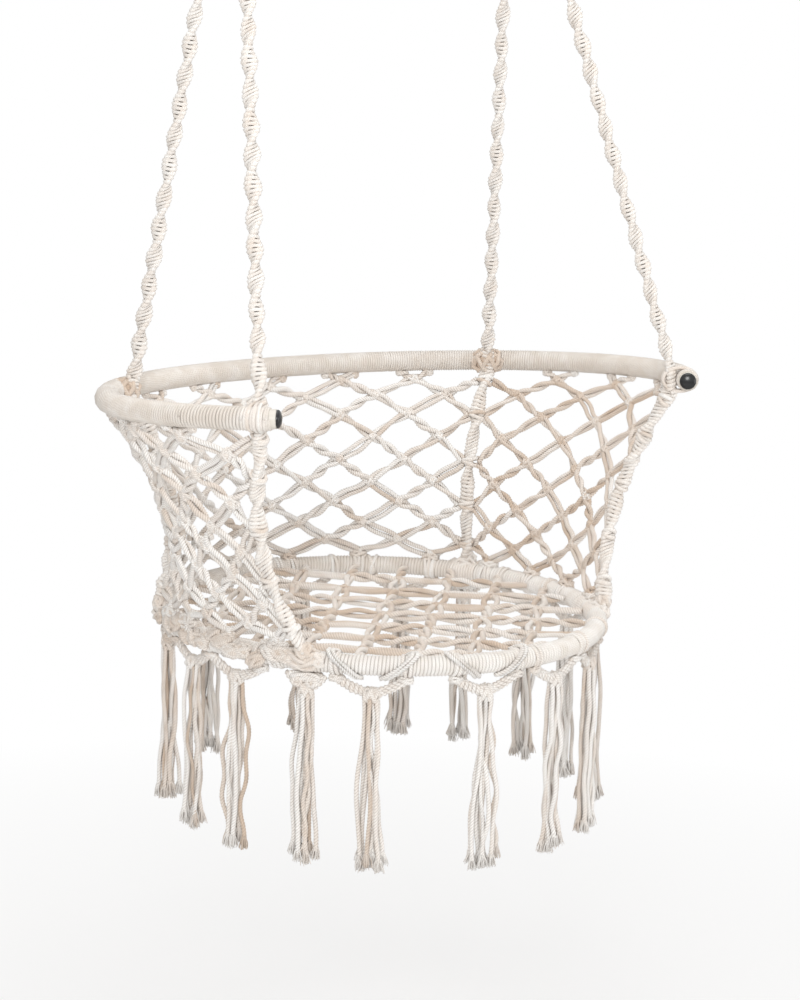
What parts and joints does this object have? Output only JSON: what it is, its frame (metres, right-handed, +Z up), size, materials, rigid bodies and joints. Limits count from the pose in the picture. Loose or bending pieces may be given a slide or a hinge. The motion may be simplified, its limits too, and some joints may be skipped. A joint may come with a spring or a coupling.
{
  "type": "hammock chair",
  "caption": "Hanging chair of knotted cotton cord: round net seat and open-fronted net back on wound steel rings, hung by braided ropes, with tassels below.",
  "frame": {"origin": "midpoint between the inner tops of the two hanging rings, where two hooks carry the chair", "axes": "+Z up, +X across the chair to the right as seen from its open front, +Y from the open front to the back"},
  "size_m": [0.9006, 0.6242, 1.495],
  "materials": {
    "wound_cord": "matt cotton cord, wound close",
    "braided_cord": "matt cotton, spiral braid",
    "knotted_cord": "matt cotton cord, knotted",
    "net_cord": "matt twisted cotton cord",
    "tassel_cord": "matt twisted cotton cord, frayed tips",
    "ring_tube": "satin off-white paint",
    "hanging_ring": "plain steel",
    "end_cap": "black, low sheen"
  },
  "bodies": {
    "hanger": {"hanging_ring_left": "hanging_ring", "hanging_ring_right": "hanging_ring"},
    "chair": {"back_net": "net_cord", "back_ring_tube": "ring_tube", "back_wrap_centre": "wound_cord", "back_wrap_left": "wound_cord", "back_wrap_left_end": "wound_cord", "back_wrap_right": "wound_cord", "back_wrap_right_end": "wound_cord", "gathering_wrap_left": "knotted_cord", "gathering_wrap_right": "knotted_cord", "left_end_cap": "end_cap", "rib_front_left": "braided_cord", "rib_front_right": "braided_cord", "rib_rear_left": "braided_cord", "rib_rear_right": "braided_cord", "right_end_cap": "end_cap", "rope_front_left": "braided_cord", "rope_front_right": "braided_cord", "rope_hitch_front_left": "knotted_cord", "rope_hitch_front_right": "knotted_cord", "rope_hitch_rear_left": "knotted_cord", "rope_hitch_rear_right": "knotted_cord", "rope_loop_left": "braided_cord", "rope_loop_right": "braided_cord", "rope_rear_left": "braided_cord", "rope_rear_right": "braided_cord", "seat_hitch_front_left": "knotted_cord", "seat_hitch_front_right": "knotted_cord", "seat_hitch_rear_left": "knotted_cord", "seat_hitch_rear_right": "knotted_cord", "seat_net": "net_cord", "seat_ring_tube": "ring_tube", "seat_wrap_back": "wound_cord", "seat_wrap_front": "wound_cord", "seat_wrap_left": "wound_cord", "seat_wrap_right": "wound_cord", "side_net_left": "net_cord", "side_net_right": "net_cord"},
    "tassel_01": {"tassel_01": "tassel_cord"},
    "tassel_02": {"tassel_02": "tassel_cord"},
    "tassel_03": {"tassel_03": "tassel_cord"},
    "tassel_04": {"tassel_04": "tassel_cord"},
    "tassel_05": {"tassel_05": "tassel_cord"},
    "tassel_06": {"tassel_06": "tassel_cord"},
    "tassel_07": {"tassel_07": "tassel_cord"},
    "tassel_08": {"tassel_08": "tassel_cord"},
    "tassel_09": {"tassel_09": "tassel_cord"},
    "tassel_10": {"tassel_10": "tassel_cord"},
    "tassel_11": {"tassel_11": "tassel_cord"},
    "tassel_12": {"tassel_12": "tassel_cord"},
    "tassel_13": {"tassel_13": "tassel_cord"},
    "tassel_14": {"tassel_14": "tassel_cord"},
    "tassel_15": {"tassel_15": "tassel_cord"}
  },
  "joints": [
    {"name": "swing", "type": "hinge", "parent": "hanger", "child": "chair", "pos_m": [0, 0, -0.056], "axis": [1, 0, 0], "range_deg": [-30, 30]},
    {"name": "tassel_01_swing", "type": "hinge", "parent": "chair", "child": "tassel_01", "pos_m": [-0.19682, -0.26379, -1.22756], "axis": [0.7547, -0.6559, -0.0133], "range_deg": [-35, 35]},
    {"name": "tassel_02_swing", "type": "hinge", "parent": "chair", "child": "tassel_02", "pos_m": [-0.05981, -0.33134, -1.22893], "axis": [0.9799, -0.1993, -0.004], "range_deg": [-35, 35]},
    {"name": "tassel_03_swing", "type": "hinge", "parent": "chair", "child": "tassel_03", "pos_m": [0.06237, -0.33081, -1.22892], "axis": [0.9781, 0.2079, 0.0042], "range_deg": [-35, 35]},
    {"name": "tassel_04_swing", "type": "hinge", "parent": "chair", "child": "tassel_04", "pos_m": [0.16119, -0.29039, -1.2281], "axis": [0.8434, 0.5372, 0.0109], "range_deg": [-35, 35]},
    {"name": "tassel_05_swing", "type": "hinge", "parent": "chair", "child": "tassel_05", "pos_m": [0.25302, -0.19859, -1.22573], "axis": [0.5373, 0.8432, 0.0171], "range_deg": [-35, 35]},
    {"name": "tassel_06_swing", "type": "hinge", "parent": "chair", "child": "tassel_06", "pos_m": [0.29333, -0.1003, -1.22425], "axis": [0.2096, 0.9776, 0.0198], "range_deg": [-35, 35]},
    {"name": "tassel_07_swing", "type": "hinge", "parent": "chair", "child": "tassel_07", "pos_m": [0.29841, -0.00659, -1.22236], "axis": [-0.1028, 0.9945, 0.0201], "range_deg": [-35, 35]},
    {"name": "tassel_08_swing", "type": "hinge", "parent": "chair", "child": "tassel_08", "pos_m": [0.2661, 0.10106, -1.21967], "axis": [-0.4617, 0.8868, 0.018], "range_deg": [-35, 35]},
    {"name": "tassel_09_swing", "type": "hinge", "parent": "chair", "child": "tassel_09", "pos_m": [0.2084, 0.17833, -1.21861], "axis": [-0.7193, 0.6945, 0.0141], "range_deg": [-35, 35]},
    {"name": "tassel_10_swing", "type": "hinge", "parent": "chair", "child": "tassel_10", "pos_m": [0.07765, 0.25229, -1.21711], "axis": [-0.9659, 0.2588, 0.0052], "range_deg": [-35, 35]},
    {"name": "tassel_11_swing", "type": "hinge", "parent": "chair", "child": "tassel_11", "pos_m": [-0.09767, 0.24617, -1.21724], "axis": [-0.9455, -0.3255, -0.0066], "range_deg": [-35, 35]},
    {"name": "tassel_12_swing", "type": "hinge", "parent": "chair", "child": "tassel_12", "pos_m": [-0.2661, 0.10106, -1.21967], "axis": [-0.4617, -0.8868, -0.018], "range_deg": [-35, 35]},
    {"name": "tassel_13_swing", "type": "hinge", "parent": "chair", "child": "tassel_13", "pos_m": [-0.29841, -0.00659, -1.22236], "axis": [-0.1028, -0.9945, -0.0201], "range_deg": [-35, 35]},
    {"name": "tassel_14_swing", "type": "hinge", "parent": "chair", "child": "tassel_14", "pos_m": [-0.29333, -0.1003, -1.22425], "axis": [0.2096, -0.9776, -0.0198], "range_deg": [-35, 35]},
    {"name": "tassel_15_swing", "type": "hinge", "parent": "chair", "child": "tassel_15", "pos_m": [-0.25302, -0.19859, -1.22573], "axis": [0.5373, -0.8432, -0.0171], "range_deg": [-35, 35]}
  ]
}
